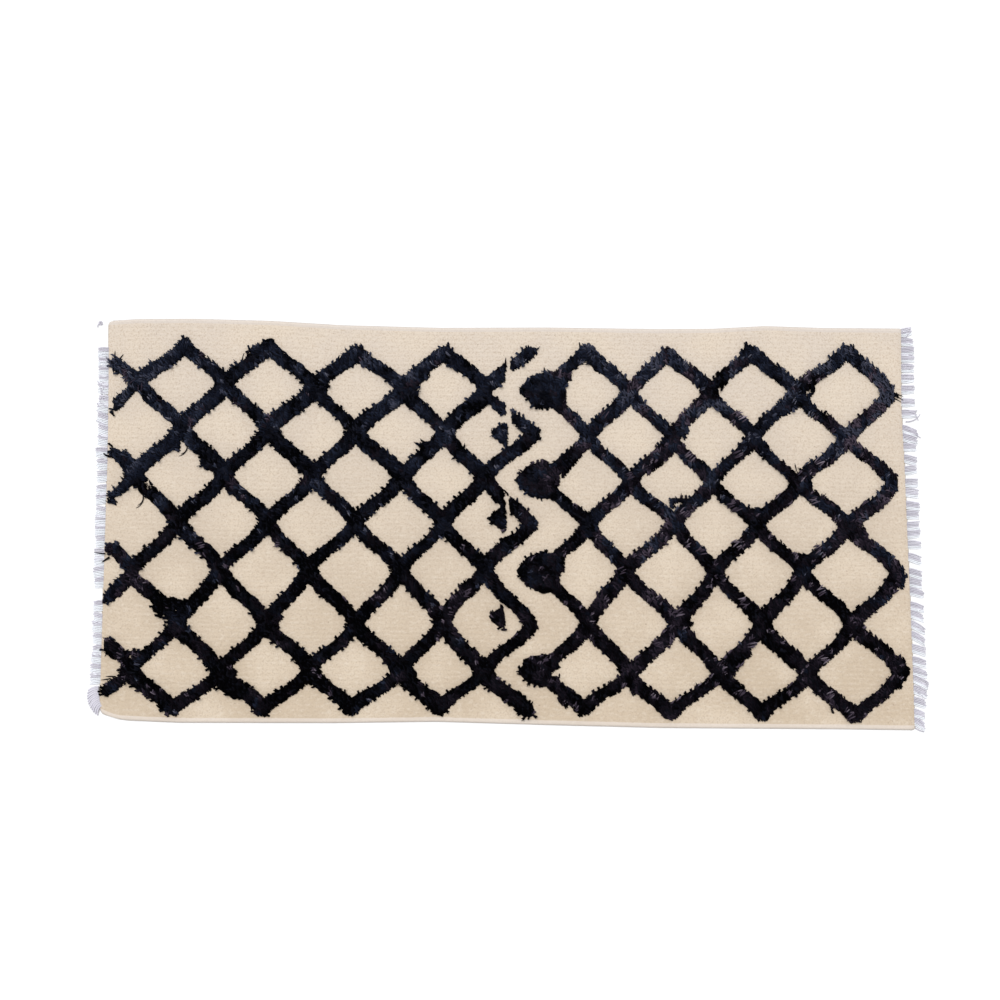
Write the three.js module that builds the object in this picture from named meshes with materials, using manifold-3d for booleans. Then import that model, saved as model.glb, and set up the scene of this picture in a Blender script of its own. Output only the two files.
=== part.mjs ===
// A hand-woven kilim rug, about 2 m by 1 m, lying flat. A thick cream wool ground carries black
// pile, knotted into it in bands that cross as a lattice of diamonds, and a fringe of cotton warp
// ends runs along each short end. Lengths are in millimetres. X runs along the rug, Y across it
// and Z up, and the origin is the middle of the underside.

import * as THREE from 'three';
import { mergeVertices } from 'three/addons/utils/BufferGeometryUtils.js';
import Module from 'manifold-3d';

const wasm = await Module();
wasm.setup();

// ---- Driving sizes ----

const GROUND_THICK = 5;
const GAP = 0.3; // between pieces that touch on the real rug
const PILE_HEIGHT = 12;
const PILE_FOOT = GROUND_THICK + GAP;
const PILE_TOP = PILE_FOOT + PILE_HEIGHT;
const TOP_DRAWN_IN = 4; // how far the pile's flat top lies inside its foot, all round
const BAND_FLARE = 3; // how much wider each side of a band is where it meets a crossing
const BAND_RAGGED = 2; // the unevenness of a band's edges
const BAND_STATIONS = [0, 0.5, 1]; // where a band's width is set, from one end to the other
const BAND_POINT = 0.6; // how far a band's ends point on past its crossings, of its width
const LINK_REACH = 160; // crossings in neighbouring rows are linked when nearer than this in X
const PILE_LEFT_END = -998; // the pattern runs off the cloth here, and its bands are cut short
const HALF_WIDTH = 500; // the chart's half width, which the waisted cloth draws in or lets out
const PAST_RUG = 1200; // further from the middle than any edge

// The ground's edges, as distances from the two middle lines, straight from each row to the next.
// The long edges are waisted and the left end leans outwards towards the far side.
const LONG_EDGES = [
  { x: -1010, far: 506, near: 491 },
  { x: -940, far: 511, near: 494 },
  { x: -800, far: 513, near: 499 },
  { x: -600, far: 509, near: 498 },
  { x: -420, far: 499, near: 497 },
  { x: -170, far: 494, near: 492 },
  { x: 100, far: 497, near: 498 },
  { x: 380, far: 495, near: 503 },
  { x: 520, far: 497, near: 503 },
  { x: 650, far: 505, near: 503 },
  { x: 800, far: 501, near: 503 },
  { x: 1000, far: 501, near: 504 },
];
const SHORT_EDGES = [
  { y: -500, left: 999, right: 1003 },
  { y: -400, left: 998, right: 1003 },
  { y: -200, left: 1000, right: 1001 },
  { y: 0, left: 1002, right: 998 },
  { y: 150, left: 1003, right: 996 },
  { y: 300, left: 1007, right: 992 },
  { y: 420, left: 1011, right: 995 },
  { y: 500, left: 1014, right: 997 },
];
const CORNERS = { nearLeft: 45, nearRight: 7, farRight: 7, farLeft: 14 }; // their radii
const CORNER_SEGMENTS = 5;

// The fringe: tassels of knotted warp ends on a narrow heading, one comb at each end. From
// bareFrom on the tassels are lost, but for one at the very corner.
const TASSEL_PITCH = 22;
const TASSEL_THICK = 4;
const TASSEL_SPACE = 6; // left open between two tassels at their roots
const TASSEL_TIP = 3.5; // half of a tassel's width at its tip
const TASSEL_SLANT = 2; // how much further one side of a tip reaches than the other
const TASSEL_UNEVEN = 3; // how much longer or shorter than its comb's mean a tassel may be, twice over
const TASSEL_LEAN = 5; // how far a tip may lie to one side of its root, twice over
const LEAN_WAVE = 1000; // half of the length over which the lean drifts from one side to the other
const HEADING = 4; // the strip of knots between the ground and the tassels
const FRINGES = [
  { node: 'fringe_left', side: -1, column: 'left', length: 25, from: -452, to: 504, bareFrom: 440 },
  { node: 'fringe_right', side: 1, column: 'right', length: 31, from: -496, to: 504, bareFrom: 504 },
];

// The pattern's chart: a line for each row of crossings from the near side to the far one. y is
// the row's place across the rug, and crossings its places along it. rise and fall are the widths
// of the bands that leave the row towards the next one, rising to the right or to the left.
const LEFT_CHART = [
  { y: -463, crossings: [-1040, -817, -592, -380, -160, 58], rise: 31, fall: 38 },
  { y: -370, crossings: [-924, -702, -485, -258, -57], rise: 32, fall: 36 },
  { y: -252, crossings: [-1035, -813, -593, -368, -157, 60], rise: 34, fall: 33 },
  { y: -119, crossings: [-930, -710, -492, -260, -55], rise: 32, fall: 33 },
  { y: -2, crossings: [-1040, -818, -595, -378, -160, 60], rise: 35, fall: 33 },
  { y: 114, crossings: [-932, -708, -485, -262, -58], rise: 36, fall: 37 },
  { y: 226, crossings: [-1040, -818, -601, -383, -160, 60], rise: 41, fall: 32 },
  { y: 337, crossings: [-934, -712, -489, -263, -54], rise: 37, fall: 33 },
  { y: 434, crossings: [-1040, -815, -612, -385, -170], rise: 0, fall: 0 },
];
const RIGHT_CHART = [
  { y: -463, crossings: [193, 405, 632, 866], rise: 30, fall: 33 },
  { y: -364, crossings: [85, 306, 528, 748, 974], rise: 33, fall: 36 },
  { y: -244, crossings: [203, 427, 634, 859], rise: 36, fall: 32 },
  { y: -117, crossings: [90, 303, 520, 737, 975], rise: 33, fall: 32 },
  { y: -3, crossings: [206, 420, 624, 857], rise: 34, fall: 30 },
  { y: 106, crossings: [90, 308, 512, 732, 968], rise: 33, fall: 30 },
  { y: 221, crossings: [202, 414, 618, 856], rise: 35, fall: 29 },
  { y: 334, crossings: [95, 305, 507, 732, 966], rise: 32, fall: 34 },
  { y: 438, crossings: [195, 398, 616, 866], rise: 0, fall: 0 },
];

// Thick clumps of pile at the left ends of the right-hand bands, each with a short point.
const CLUMPS = [
  { x: 92, y: -362, reach: 60, half: 40 },
  { x: 92, y: -120, reach: 62, half: 53 },
  { x: 86, y: 109, reach: 62, half: 50 },
  { x: 96, y: 336, reach: 64, half: 48 },
];
const CLUMP_POINT = 6; // how much further a clump's left point reaches than its round
const CLUMP_SHOULDER = 0.75; // how full a clump's left quarters are, of its reach
const CLUMP_BACK = 0.8; // how far it reaches to the right, of its reach to the left
const CLUMP_SEGMENTS = 2; // straight lines to each curve of a clump or leaf

// Along the rug's middle the pile is parted, and short leaves of pile lie on its left side. A
// parting is a clean gap between x = left and x = right, from y = from to y = to.
const PARTING = { left: -4, right: 2 };
const PARTINGS = [
  { from: -30, to: 78 },
  { from: 206, to: 302 },
];
const LEAVES = [
  { node: 'pile_leaf', tip: [-47, -228], head: [-12, -198], foot: [-7, -274] },
  { node: 'pile_left', tip: [-51, 14], head: [-6, 55], foot: [-6, -27] },
  { node: 'pile_left', tip: [-48, 231], head: [-6, 262], foot: [-6, 180] },
];
const LEAF_BULGE = 8; // how far a leaf's two free sides bow outwards

// One band runs from the top of the left lattice to the parting and on beyond it.
const END_BAND = { from: [-54, 339], to: [57, 431], width: 38 };

// ---- Materials ----

const wool = (color) => new THREE.MeshStandardMaterial({ color, roughness: 0.95, metalness: 0 });
const groundWool = wool('#dccdb9');
const pileWool = wool('#14141a');
const fringeCotton = wool('#e4e6ee');

// ---- Helpers ----

// A column of a table read on the straight lines between its rows.
function between(table, key, column, at) {
  let row = 0;
  while (row < table.length - 2 && at > table[row + 1][key]) {
    row += 1;
  }
  const [low, high] = [table[row], table[row + 1]];
  return THREE.MathUtils.mapLinear(at, low[key], high[key], low[column], high[column]);
}

// The places of a table's rows from one value to another, in that order and with both ends.
function rowsBetween(table, key, from, to) {
  const [low, high] = [Math.min(from, to), Math.max(from, to)];
  const inside = table.map((row) => row[key]).filter((at) => at > low && at < high);
  const rising = [low, ...inside, high];
  return from < to ? rising : rising.reverse();
}

function extrude(shape, depth, curveSegments) {
  return new THREE.ExtrudeGeometry(shape, { depth, curveSegments, bevelEnabled: false });
}

// A closed geometry as a solid that can be joined and cut.
function toSolid(geometry) {
  geometry.deleteAttribute('normal');
  geometry.deleteAttribute('uv');
  const merged = mergeVertices(geometry);
  const vertProperties = Float32Array.from(merged.attributes.position.array);
  const triVerts = Uint32Array.from(merged.index.array);
  return new wasm.Manifold(new wasm.Mesh({ numProp: 3, vertProperties, triVerts }));
}

function toGeometry(solid) {
  const { vertProperties, triVerts } = solid.getMesh();
  const geometry = new THREE.BufferGeometry();
  geometry.setAttribute('position', new THREE.BufferAttribute(vertProperties, 3));
  geometry.setIndex(new THREE.BufferAttribute(triVerts, 1));
  geometry.computeVertexNormals();
  return geometry;
}

const joined = (solids) => solids.reduce((all, solid) => all.add(solid));

// A box between two corners, as a solid that cuts.
function cutter(low, high) {
  const size = high.map((value, i) => value - low[i]);
  const middle = high.map((value, i) => (value + low[i]) / 2);
  return toSolid(new THREE.BoxGeometry(...size).translate(...middle));
}

function named(name, geometry, material) {
  const mesh = new THREE.Mesh(geometry, material);
  mesh.name = name;
  return mesh;
}

// ---- Ground ----

const farEdge = (x) => between(LONG_EDGES, 'x', 'far', x);
const nearEdge = (x) => -between(LONG_EDGES, 'x', 'near', x);
const leftEdge = (y) => -between(SHORT_EDGES, 'y', 'left', y);
const rightEdge = (y) => between(SHORT_EDGES, 'y', 'right', y);

// The woven cloth: one slab inside the four edges, with each corner rounded by its own amount.
function makeGround() {
  const [leftRow, rightRow] = [LONG_EDGES[0], LONG_EDGES.at(-1)];
  const [nearRow, farRow] = [SHORT_EDGES[0], SHORT_EDGES.at(-1)];
  const corners = [
    { x: -nearRow.left, y: -leftRow.near, round: CORNERS.nearLeft },
    { x: nearRow.right, y: -rightRow.near, round: CORNERS.nearRight },
    { x: farRow.right, y: rightRow.far, round: CORNERS.farRight },
    { x: -farRow.left, y: leftRow.far, round: CORNERS.farLeft },
  ];
  const edges = [
    { table: LONG_EDGES, key: 'x', point: (x) => [x, nearEdge(x)] },
    { table: SHORT_EDGES, key: 'y', point: (y) => [rightEdge(y), y] },
    { table: LONG_EDGES, key: 'x', point: (x) => [x, farEdge(x)] },
    { table: SHORT_EDGES, key: 'y', point: (y) => [leftEdge(y), y] },
  ];
  const nextCorner = (i) => corners[(i + 1) % corners.length];
  const runs = edges.map(({ table, key, point }, i) => {
    const [start, end] = [corners[i], nextCorner(i)];
    const ahead = Math.sign(end[key] - start[key]);
    return rowsBetween(table, key, start[key] + ahead * start.round, end[key] - ahead * end.round).map(point);
  });
  const outline = new THREE.Shape();
  outline.moveTo(...runs[0][0]);
  runs.forEach((run, i) => {
    run.slice(1).forEach((place) => outline.lineTo(...place));
    const { x, y } = nextCorner(i);
    outline.quadraticCurveTo(x, y, ...runs[(i + 1) % runs.length][0]);
  });
  return extrude(outline, GROUND_THICK, CORNER_SEGMENTS);
}

// ---- Fringe ----

// One comb: a narrow heading along the ground's end, with a tapered tassel at each pitch. The
// lengths and the lean of the tassels drift along the end.
function makeFringe({ side, column, length, from, to, bareFrom }) {
  const edge = (y) => side * (between(SHORT_EDGES, 'y', column, y) + GAP);
  const count = Math.round((to - from) / TASSEL_PITCH);
  const pitch = (to - from) / count;
  const half = (pitch - TASSEL_SPACE) / 2;
  const outline = new THREE.Shape();
  outline.moveTo(edge(from), from);
  outline.lineTo(edge(from) + side * HEADING, from);
  for (let i = 0; i < count; i += 1) {
    const middle = from + (i + 0.5) * pitch;
    if (middle < bareFrom || i === count - 1) {
      const root = edge(middle) + side * HEADING;
      const tip = root + side * (length + TASSEL_UNEVEN * (Math.sin(1.7 * i) + Math.sin(0.6 * i + side)));
      const lean = TASSEL_LEAN * (Math.sin(0.9 * i) - side * Math.cos((Math.PI * middle) / LEAN_WAVE + side));
      outline.lineTo(root, middle - half);
      outline.lineTo(tip, middle + lean - TASSEL_TIP);
      outline.lineTo(tip + side * TASSEL_SLANT, middle + lean + TASSEL_TIP);
      outline.lineTo(root, middle + half);
    }
  }
  outline.lineTo(edge(to) + side * HEADING, to);
  for (const y of rowsBetween(SHORT_EDGES, 'y', to, from).slice(0, -1)) {
    outline.lineTo(edge(y), y);
  }
  return extrude(outline, TASSEL_THICK, 1);
}

// ---- Pile ----

// Raises a shape about the origin to the pile's height and draws its top in from its foot.
function raised(shape, halfLong, halfAcross) {
  const geometry = extrude(shape, PILE_HEIGHT, CLUMP_SEGMENTS);
  const position = geometry.attributes.position;
  for (let i = 0; i < position.count; i += 1) {
    if (position.getZ(i) > PILE_HEIGHT / 2) {
      position.setX(i, position.getX(i) * (1 - TOP_DRAWN_IN / halfLong));
      position.setY(i, position.getY(i) * (1 - TOP_DRAWN_IN / halfAcross));
    }
  }
  return geometry;
}

// A place on the chart moved to where the waisted cloth has it.
const onCloth = (x, y) => [x, (y * Math.abs(y > 0 ? farEdge(x) : nearEdge(x))) / HALF_WIDTH];

// A band between two places: narrowest at its middle, flared and pointed at both ends.
function band([fromX, fromY], [toX, toY], width) {
  const length = Math.hypot(toX - fromX, toY - fromY);
  const ragged = (t, side) => BAND_RAGGED * Math.sin(9 * t + fromX * side + toY);
  const half = (t, side) => width / 2 + BAND_FLARE * (2 * t - 1) ** 2 + ragged(t, side);
  const cap = width * BAND_POINT;
  const shape = new THREE.Shape();
  shape.moveTo(-length / 2 - cap, 0);
  for (const t of BAND_STATIONS) {
    shape.lineTo(length * (t - 0.5), -half(t, -1));
  }
  shape.lineTo(length / 2 + cap, 0);
  for (const t of BAND_STATIONS.toReversed()) {
    shape.lineTo(length * (t - 0.5), half(t, 1));
  }
  const geometry = raised(shape, length / 2 + cap, width / 2 + BAND_FLARE);
  geometry.rotateZ(Math.atan2(toY - fromY, toX - fromX));
  return toSolid(geometry.translate((fromX + toX) / 2, (fromY + toY) / 2, PILE_FOOT));
}

// All bands of a chart: each crossing is linked to its neighbours in the next row.
function bands(chart) {
  return chart.slice(0, -1).flatMap((row, i) => row.crossings.flatMap((x) => {
    const next = chart[i + 1];
    const linked = next.crossings.filter((nextX) => Math.abs(nextX - x) < LINK_REACH);
    return linked.map((nextX) =>
      band(onCloth(x, row.y), onCloth(nextX, next.y), nextX > x ? row.rise : row.fall));
  }));
}

// A rounded clump that draws out to a point on its left.
function clump({ x, y, reach, half }) {
  const shape = new THREE.Shape();
  shape.moveTo(-reach - CLUMP_POINT, 0);
  shape.quadraticCurveTo(-reach * CLUMP_SHOULDER, half, 0, half);
  shape.quadraticCurveTo(reach * CLUMP_BACK, half, reach * CLUMP_BACK, 0);
  shape.quadraticCurveTo(reach * CLUMP_BACK, -half, 0, -half);
  shape.quadraticCurveTo(-reach * CLUMP_SHOULDER, -half, -reach - CLUMP_POINT, 0);
  return toSolid(raised(shape, reach, half).translate(x, y, PILE_FOOT));
}

// A leaf of pile: straight along the parting, bulging on its other two sides.
function leaf({ tip, head, foot }) {
  const middle = [(tip[0] + head[0]) / 2, (head[1] + foot[1]) / 2];
  const place = ([x, y]) => [x - middle[0], y - middle[1]];
  const bulged = (a, b) => place([(a[0] + b[0]) / 2 - LEAF_BULGE, (a[1] + b[1]) / 2]);
  const shape = new THREE.Shape();
  shape.moveTo(...place(foot));
  shape.lineTo(...place(head));
  shape.quadraticCurveTo(...bulged(head, tip), ...place(tip));
  shape.quadraticCurveTo(...bulged(tip, foot), ...place(foot));
  return toSolid(raised(shape, head[0] - tip[0], (head[1] - foot[1]) / 2).translate(...middle, PILE_FOOT));
}

// A box that cuts right through the pile, as wide and as long as it is told to be.
const pileBox = ({ left = -PAST_RUG, right = PAST_RUG, from = -PAST_RUG, to = PAST_RUG }) =>
  cutter([left, from, 0], [right, to, PILE_TOP + GAP]);

const endBand = () => band(END_BAND.from, END_BAND.to, END_BAND.width);

function makeLeftPile() {
  const ownLeaves = LEAVES.filter(({ node }) => node === 'pile_left').map(leaf);
  const endBandStart = endBand().intersect(pileBox({ right: PARTING.left }));
  const whole = joined([...bands(LEFT_CHART), ...ownLeaves, endBandStart]);
  const parted = PARTINGS.reduce((solid, run) => solid.subtract(pileBox({ ...PARTING, ...run })), whole);
  return toGeometry(parted.intersect(pileBox({ left: PILE_LEFT_END })));
}

const makeEndPile = () => toGeometry(endBand().intersect(pileBox({ left: PARTING.right })));

const makeRightPile = () => toGeometry(joined([...bands(RIGHT_CHART), ...CLUMPS.map(clump)]));

// ---- The rug ----

const rug = new THREE.Group();
rug.add(named('ground', makeGround(), groundWool));
for (const fringe of FRINGES) {
  rug.add(named(fringe.node, makeFringe(fringe), fringeCotton));
}
rug.add(named('pile_left', makeLeftPile(), pileWool));
rug.add(named('pile_right', makeRightPile(), pileWool));
rug.add(named('pile_end', makeEndPile(), pileWool));
const looseLeaf = LEAVES.find(({ node }) => node === 'pile_leaf');
rug.add(named('pile_leaf', toGeometry(leaf(looseLeaf)), pileWool));

export default rug;
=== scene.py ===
"""A hand-woven rug lying on a pale floor: a cream wool ground in ribbed weave, black shaggy pile
knotted into it in bands that cross as a lattice of diamonds, and a cotton fringe at each end.

The ground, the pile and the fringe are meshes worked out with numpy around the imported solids. All
sizes are in metres, but for the tables of places, which are in whole millimetres where they don't
say otherwise.
"""

import math

import bpy
import numpy as np
from mathutils import Matrix, Vector


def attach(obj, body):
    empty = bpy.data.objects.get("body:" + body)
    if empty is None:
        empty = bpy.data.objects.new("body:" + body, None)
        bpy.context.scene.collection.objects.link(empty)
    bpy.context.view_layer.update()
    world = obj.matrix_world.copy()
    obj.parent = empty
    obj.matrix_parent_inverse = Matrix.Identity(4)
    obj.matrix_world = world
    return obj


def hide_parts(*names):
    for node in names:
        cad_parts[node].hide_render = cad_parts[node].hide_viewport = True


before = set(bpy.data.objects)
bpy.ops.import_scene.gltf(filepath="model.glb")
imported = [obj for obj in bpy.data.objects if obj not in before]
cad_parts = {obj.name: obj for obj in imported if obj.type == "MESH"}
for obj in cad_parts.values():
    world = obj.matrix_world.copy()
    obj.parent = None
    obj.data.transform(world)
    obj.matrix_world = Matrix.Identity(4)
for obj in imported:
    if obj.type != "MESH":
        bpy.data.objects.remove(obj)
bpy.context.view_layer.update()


def table(names, *rows):
    """Rows of values as dictionaries, keyed by the names of their columns. A row may end early."""
    return [dict(zip(names.split(), row)) for row in rows]


MM = 0.001
PILE_NODES = ("pile_left", "pile_right", "pile_end", "pile_leaf")

# The weave. Ribs run along the rug and the weft beads lie across them.
RIBS = 88
RIB_STEPS = 4  # rows of faces to a rib
RIB_DEPTH = 0.45 * MM
RIB_WANDER = 1.1 * MM  # how far a rib strays from its line
GROUND_WAVE = 0.3 * MM  # how far the cloth rises and falls in slow waves
SELVEDGE_RISE = 1.2 * MM  # how far the corded outermost rib stands above the others
GROUND_COLUMNS = 150
CORNER_FROM = -0.935  # where the near edge starts to rise to the softly rounded left corner
CORNER_REACH = 60 * MM  # over how far it rises, with the square of the way
CORNER_RISE = 17 * MM
ENDS_FROM = 0.95  # beyond it on either side the outline's points belong to a short end
END_MARGIN = 0.0016  # where the cloth turns down at its ends, of its length
WEFT_PITCH = 4.0 * MM  # from one weft bead to the next along a rib

# The pile. Knots stand in rows across the rug, and their yarn ends lean to the far left. Between
# them lies a mat of the yarn's own fluff.
MAP_MARGIN = 10 * MM  # how far the map of the pile goes on past its feet
KNOT_ROW = 12.0 * MM
KNOT_STEP = 9.0 * MM
ENDS_PER_KNOT = 5
NAP_ANGLE = math.radians(136)
WORN_ANGLE = math.radians(50)  # the way that the worn ends of the rug's right half lie
WORN_ENDS = 0.75  # how many of a worn knot's ends are gray
NAP_REACH = 15.0 * MM
SHORTEST_END = 2.5 * MM
NAP_LOW, NAP_HIGH = 7.5 * MM, 12.5 * MM  # how high the ends stand above the ground
END_STRAY = 2.6 * MM  # how far from its knot's middle an end may start
OVERHANG_LOW, OVERHANG_HIGH = -1.5 * MM, 3.0 * MM  # how far a knot's ends reach past the pile's edge
TOOTH_OVERHANG = 6.0 * MM  # how far a tooth does, which is a tuft that sticks out of it
TOOTH_DEPTH = 6.0  # how deep inside the edge a tooth may be rooted, in millimetres
WISP_OVERHANG = 6.0 * MM  # how much further a single thin end goes
ROOT_DEPTH = 0.6 * MM  # how far in the ground an end starts
END_RADIUS = 2.2 * MM
END_SIDES = 3
END_STATIONS = np.array([0.0, 0.45, 0.88])  # the rings of a yarn end, before its tip
END_TAPER = np.array([1.0, 1.05, 0.75])  # its width at each of them
MAT_STEP = 6.0 * MM
MAT_HEIGHT = 7.0 * MM
MAT_SINK = 0.4 * MM  # how far the mat's underside lies in the ground
MAT_LEVEL = 0.82  # where on the pile's softened edge the mat ends, from 0 outside to 1 inside
MAT_ROUNDING = 6  # how far in from its edge the mat is full height, in millimetres

# The shares of the knots at the pile's edge that stick out as a tooth: in the neat right field, on
# the left field's left edges and on its others, and along a saw. At the left end they are fewer by
# a factor.
NEAT_TEETH, LEFT_TEETH, OTHER_TEETH, SAW_TEETH, END_FACTOR = 0.04, 0.45, 0.14, 0.8, 0.35

# Where the bands wander from the even lattice: the place and how far they go.
WANDERS = table(
    "x y right far",
    (300, -130, -8, 0), (730, 170, -7, -4), (770, -40, -6, 0), (780, 350, -5, 0), (-120, 410, 5, 7),
    (290, 400, 5, 0), (-880, 330, 0, 5), (-910, -130, 0, -7), (330, -330, 0, -7), (480, 210, 1, -4),
    (400, 0, 0, 5), (-150, -190, -1, 7), (-520, -320, 2, 6), (850, 430, -3, 6), (195, 440, 0, 7),
    (450, 385, 4, 4), (820, -440, -3, -7), (950, -330, 4, 6), (985, 105, 4, 0), (990, -145, 4, -2),
    (60, 215, 5, 0), (70, -20, 3, -2), (5, -70, -2, 4), (60, -250, 6, 0), (190, -460, 0, 6),
    (140, -300, 3, -4), (-580, 400, 3, 4), (-790, 430, -4, 1), (-450, -430, 2, 5),
    (820, 260, -2, -6), (-90, 430, 0, 4), (-905, 440, 0, -4), (700, -50, 0, 4),
)
WANDER_SIZE = 85 * MM

# The lattices of the left and right fields: the middle of one crossing and the ways to the next
# like it, in metres. Bands draw together sideways at each crossing, and stand apart along it.
LATTICES = table(
    "x y wide tall",
    (-0.94, 0.34, 0.225, 0.236), (0.31, 0.335, 0.213, 0.235),
)
PARTING_X = 0.08
LEFT_END = -0.95  # beyond it the arms end and their edges have few tufts sticking out
SAW_FROM = 0.21  # where the right field's far left edges turn to a saw of tufts
PINCH = 5.5  # how far the bands are drawn together, in millimetres

# Strips that have pile beyond the even lattice, and strips that have none: the points that they
# lead from and to, and half the width.
FILLS = table(
    "from to half",
    ((-1001, 398), (-983, 377), 10), ((-992, 187), (-978, 176), 8), ((-768, 144), (-748, 127), 6),
    ((-842, 188), (-828, 182), 12), ((-216, 192), (-206, 197), 8), ((-112, -160), (-90, -146), 7),
    ((-830, -202), (-810, -210), 12), ((-872, -212), (-853, -243), 6),
    ((-965, -332), (-902, -331), 7), ((-676, -364), (-664, -378), 6),
    ((-570, -257), (-552, -237), 6), ((-706, -412), (-658, -437), 6),
    ((-234, -362), (-224, -378), 6), ((-225, -385), (-168, -432), 5), ((-55, -90), (0, -47), 7),
    ((-14, -45), (14, -30), 4), ((-820, 455), (-812, 458), 9), ((-655, 430), (-640, 442), 6),
    ((-234, 322), (-228, 345), 6), ((-228, 345), (-202, 370), 5), ((-458, 322), (-455, 344), 5),
    ((62, 296), (97, 290), 6), ((42, -345), (62, -334), 6), ((62, -334), (95, -331), 6),
    ((815, 425), (858, 452), 6), ((140, 305), (142, 350), 7), ((142, 350), (158, 372), 7),
    ((140, 118), (178, 167), 6), ((138, -93), (138, -120), 6), ((226, -182), (247, -156), 6),
    ((130, -433), (149, -453), 5), ((302, -396), (315, -420), 6), ((350, 128), (412, 180), 6),
    ((412, 58), (458, 58), 7), ((412, 60), (413, 44), 7), ((442, 212), (450, 236), 5),
    ((446, -248), (456, -250), 6), ((595, 36), (638, 33), 6), ((588, 426), (601, 456), 4),
    ((690, 278), (728, 296), 5), ((715, -78), (757, -80), 6), ((556, -372), (576, -342), 8),
    ((576, -342), (600, -320), 6), ((562, -386), (584, -409), 5), ((632, -290), (664, -314), 6),
    ((664, -314), (704, -358), 5), ((760, 322), (772, 346), 6), ((755, 108), (757, 98), 6),
    ((795, -448), (803, -461), 4), ((882, -2), (893, -25), 5), ((965, 334), (980, 329), 6),
    ((989, -125), (975, -165), 5), ((973, -328), (990, -362), 6), ((990, -362), (966, -400), 6),
)
TRIMS = table(
    "from to half",
    ((-985, 420), (-948, 390), 6), ((-976, 345), (-968, 334), 7), ((18, 372), (78, 412), 12),
    ((26, 288), (98, 244), 13), ((-18, 320), (26, 288), 8), ((-31, 325), (-8, 325), 8),
    ((8, -100), (42, -58), 8), ((-934, 303), (-985, 248), 16), ((-1010, 250), (-985, 250), 17),
    ((-1011, 292), (-1011, 250), 12), ((-1005, 212), (-966, 184), 12),
    ((-1016, 195), (-1006, 150), 12), ((-1015, 26), (-985, 26), 14), ((-975, 50), (-935, 77), 4),
    ((-1016, 75), (-1016, 20), 13), ((-1015, -43), (-985, -43), 15),
    ((-1012, -50), (-1012, -110), 12), ((-1013, -170), (-1010, -230), 12),
    ((-1010, -220), (-985, -220), 13), ((-1012, -278), (-988, -278), 15),
    ((-1007, -275), (-1007, -345), 14), ((-1009, -395), (-1009, -455), 13),
    ((-1010, -450), (-985, -450), 15), ((-960, -131), (-950, -131), 6), ((-898, 92), (-896, 84), 6),
    ((-906, -136), (-903, -142), 6), ((-956, -356), (-956, -382), 6), ((118, -373), (136, -364), 6),
    ((174, 286), (198, 262), 4), ((534, 342), (534, 334), 4),
)

# Worn places, where more of the ends are gray: the middle, the lie in degrees, the half sizes
# and the share of ends that are gray.
WORN = table(
    "x y lie long wide share",
    (560, 180, 45, 60, 25, 0.25), (430, 180, 50, 45, 18, 0.45), (780, 165, 50, 60, 25, 0.25),
    (585, 275, 45, 45, 16, 0.45), (570, 0, 90, 70, 25, 0.25), (735, -62, 45, 60, 20, 0.4),
    (600, -270, -45, 60, 20, 0.3), (780, -370, -60, 70, 22, 0.25), (-100, -175, 45, 30, 14, 0.4),
    (-765, -65, -40, 35, 14, 0.4), (-930, 345, 30, 45, 20, 0.35), (310, 220, 90, 130, 18, 0.22),
    (440, 42, 40, 50, 22, 0.35), (-930, -345, 0, 35, 35, 0.35), (-925, -150, -30, 40, 22, 0.3),
)

# Stretches of the rug that have faded right across: the middle and half the width in metres, and
# the lift in tone.
FADED_ACROSS = ((-1.00, 0.15, 7), (0.36, 0.15, 8), (0.93, 0.12, 7))

# Worn ends that lie on the pile side by side: the middle of the sheaf, the heading in degrees,
# how many, and how pale, from 0 to 1.
PALE_ENDS = table(
    "x y heading count pale",
    (583, 272, 42, 7, 1.0), (475, 302, 48, 3, 0.5), (455, 168, 42, 6, 0.7), (575, 174, 40, 4, 0.6),
    (562, 42, 45, 6, 0.5), (440, 25, 55, 5, 0.6), (305, 116, 40, 5, 0.3), (238, 272, 55, 3, 0.4),
    (340, 290, 40, 4, 0.3), (480, -68, 35, 5, 0.5), (570, -50, 35, 5, 0.7), (582, -192, 32, 6, 0.9),
    (425, -222, 30, 4, 0.6), (285, -118, 30, 3, 0.5), (605, -300, 20, 4, 0.8),
    (775, -165, 35, 5, 0.9), (778, 155, 40, 4, 0.9), (765, 62, 25, 4, 0.7), (770, -60, 45, 4, 0.7),
    (780, -332, 40, 5, 0.8), (795, -420, 50, 4, 0.8), (842, -472, 50, 3, 0.6),
    (575, -415, 50, 4, 0.6), (370, -300, 30, 3, 0.4), (-760, -64, 30, 4, 0.5),
    (-100, -175, 40, 4, 0.5), (-955, 350, 70, 3, 0.2), (-925, 330, 100, 3, 0.2),
)
PALE_LENGTH = 20 * MM
PALE_GAP = 4.6 * MM
PALE_RADIUS = 1.8 * MM
PALE_TOP = 13.6 * MM  # how high they lie above the floor
PALE_ARCH = 2.4 * MM  # how far their middles rise

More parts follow.
